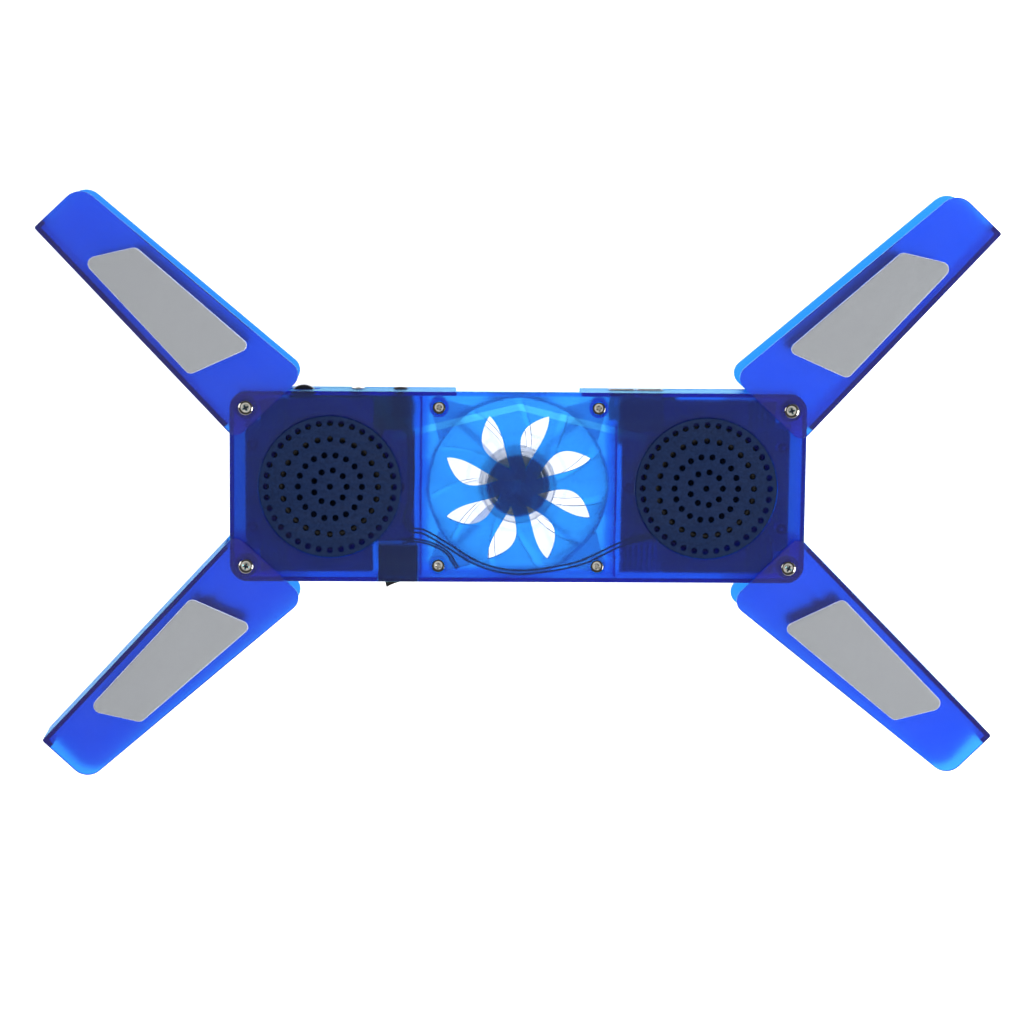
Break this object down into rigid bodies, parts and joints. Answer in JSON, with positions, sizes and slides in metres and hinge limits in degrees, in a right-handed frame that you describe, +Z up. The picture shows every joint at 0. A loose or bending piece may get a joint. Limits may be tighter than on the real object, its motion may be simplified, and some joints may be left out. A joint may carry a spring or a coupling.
{
  "type": "laptop cooling pad",
  "caption": "Folding laptop cooling pad: translucent bar body with a clear fan, perforated loudspeaker grilles and swing-out corner arms with soft top pads.",
  "frame": {"origin": "on the resting plane under the middle of the body, between the four feet", "axes": "+X along the body's length, +Y to the rear with the sockets, +Z up through the fan's axis"},
  "size_m": [0.4324, 0.264, 0.0308],
  "materials": {
    "blue_plastic": "translucent tinted plastic, satin moulded face",
    "clear_plastic": "clear moulded plastic",
    "grille_plastic": "fine matt",
    "black_plastic": "fine moulded grain",
    "grey_rubber": "fine grained matt sheet",
    "dark_rubber": "matt",
    "plated_steel": "bright nickel plate",
    "bare_steel": "ground",
    "cone_paper": "pulp with a soft sheen",
    "ferrite": "sintered",
    "circuit_board": "solder-masked laminate",
    "wire_sleeve": "soft sleeve",
    "copper_winding": "enamelled winding"
  },
  "bodies": {
    "body": {"amplifier_board": "circuit_board", "audio_jack": "black_plastic", "bottom_cover": "blue_plastic", "cover_screw_front_left": "plated_steel", "cover_screw_front_right": "plated_steel", "cover_screw_rear_left": "plated_steel", "cover_screw_rear_right": "plated_steel", "fan_bearing": "bare_steel", "fan_frame": "clear_plastic", "fan_guard": "clear_plastic", "fan_lead": "wire_sleeve", "fan_stator": "copper_winding", "link_lead": "wire_sleeve", "motor_board": "circuit_board", "pivot_screw_bottom_front_left": "plated_steel", "pivot_screw_bottom_front_right": "plated_steel", "pivot_screw_bottom_rear_left": "plated_steel", "pivot_screw_bottom_rear_right": "plated_steel", "pivot_screw_top_front_left": "plated_steel", "pivot_screw_top_front_right": "plated_steel", "pivot_screw_top_rear_left": "plated_steel", "pivot_screw_top_rear_right": "plated_steel", "power_jack": "black_plastic", "rocker_housing": "black_plastic", "speaker_basket_left": "black_plastic", "speaker_basket_right": "black_plastic", "speaker_cone_left": "cone_paper", "speaker_cone_right": "cone_paper", "speaker_grille_left": "grille_plastic", "speaker_grille_right": "grille_plastic", "speaker_lead_left": "wire_sleeve", "speaker_magnet_left": "ferrite", "speaker_magnet_right": "ferrite", "speaker_tray_left": "blue_plastic", "speaker_tray_right": "blue_plastic", "top_cover": "blue_plastic", "usb_board": "circuit_board", "usb_port_inner": "plated_steel", "usb_port_outer": "plated_steel", "volume_pot": "black_plastic"},
    "arm_rear_left": {"arm_rear_left": "blue_plastic", "top_pad_rear_left": "grey_rubber", "foot_rear_left": "dark_rubber"},
    "arm_rear_right": {"arm_rear_right": "blue_plastic", "top_pad_rear_right": "grey_rubber", "foot_rear_right": "dark_rubber"},
    "arm_front_left": {"arm_front_left": "blue_plastic", "top_pad_front_left": "grey_rubber", "foot_front_left": "dark_rubber"},
    "arm_front_right": {"arm_front_right": "blue_plastic", "top_pad_front_right": "grey_rubber", "foot_front_right": "dark_rubber"},
    "fan": {"fan_rotor": "clear_plastic", "rotor_magnet": "ferrite", "fan_shaft": "bare_steel"},
    "volume_wheel": {"volume_wheel": "black_plastic"},
    "rocker_button": {"rocker_button": "black_plastic"}
  },
  "joints": [
    {"name": "fold_rear_left", "type": "hinge", "parent": "body", "child": "arm_rear_left", "pos_m": [-0.1225, 0.0358, 0.015], "axis": [0, 0, -1], "range_deg": [0, 133.4]},
    {"name": "fold_rear_right", "type": "hinge", "parent": "body", "child": "arm_rear_right", "pos_m": [0.1225, 0.0358, 0.015], "axis": [0, 0, 1], "range_deg": [0, 133]},
    {"name": "fold_front_left", "type": "hinge", "parent": "body", "child": "arm_front_left", "pos_m": [-0.1225, -0.0358, 0.015], "axis": [0, 0, 1], "range_deg": [0, 132.8]},
    {"name": "fold_front_right", "type": "hinge", "parent": "body", "child": "arm_front_right", "pos_m": [0.1225, -0.0358, 0.015], "axis": [0, 0, -1], "range_deg": [0, 134.7]},
    {"name": "fan_spin", "type": "hinge", "parent": "body", "child": "fan", "pos_m": [0, 0, 0.0145], "axis": [0, 0, 1], "continuous": true},
    {"name": "volume_turn", "type": "hinge", "parent": "body", "child": "volume_wheel", "pos_m": [-0.0969, 0.0384, 0.015], "axis": [0, 0, 1], "range_deg": [-140, 140]},
    {"name": "rocker_tilt", "type": "hinge", "parent": "body", "child": "rocker_button", "pos_m": [-0.0542, -0.0394, 0.017], "axis": [0, 0, 1], "range_deg": [-26, 0]}
  ]
}
